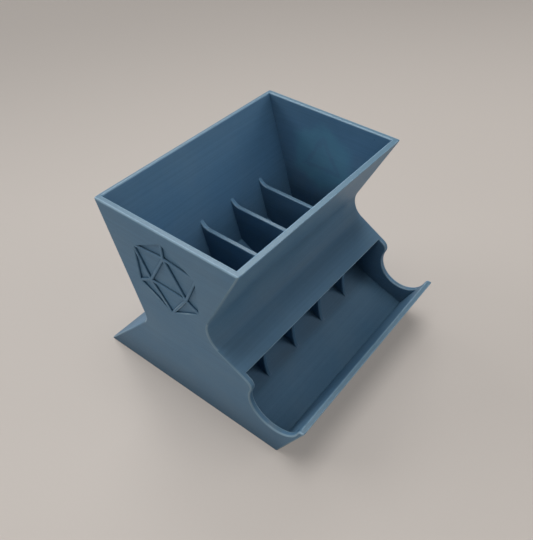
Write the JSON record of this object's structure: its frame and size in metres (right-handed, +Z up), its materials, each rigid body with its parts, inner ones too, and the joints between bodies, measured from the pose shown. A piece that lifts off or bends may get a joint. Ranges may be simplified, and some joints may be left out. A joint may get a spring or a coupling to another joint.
{
  "type": "dice tower",
  "caption": "Table-top dice tower: an open flared hopper over parallel lanes, a hood, a sloping chute and an open catching tray with a leaning lip.",
  "frame": {"origin": "on the table, under the middle of the tower's overall length and depth", "axes": "+X right along the tower over both end plates, -Y towards the tray, +Z up"},
  "size_m": [0.1, 0.1094, 0.088],
  "materials": {
    "end_plate": "matte blue-grey printed plastic with fine layer lines",
    "hopper_wall": "matte blue-grey printed plastic with fine layer lines",
    "chute": "matte blue-grey printed plastic with fine layer lines",
    "base": "matte blue-grey printed plastic, smooth first layer",
    "tray_lip": "matte blue-grey printed plastic with fine layer lines",
    "lane_divider": "matte blue-grey printed plastic with fine layer lines"
  },
  "bodies": {
    "root": {"left_end_plate": "end_plate", "right_end_plate": "end_plate", "front_wall_and_hood": "hopper_wall", "rear_wall": "hopper_wall", "chute_ramp": "chute", "base_plate": "base", "tray_lip": "tray_lip", "lane_divider_1": "lane_divider", "lane_divider_2": "lane_divider", "lane_divider_3": "lane_divider", "lane_divider_4": "lane_divider"}
  },
  "joints": []
}
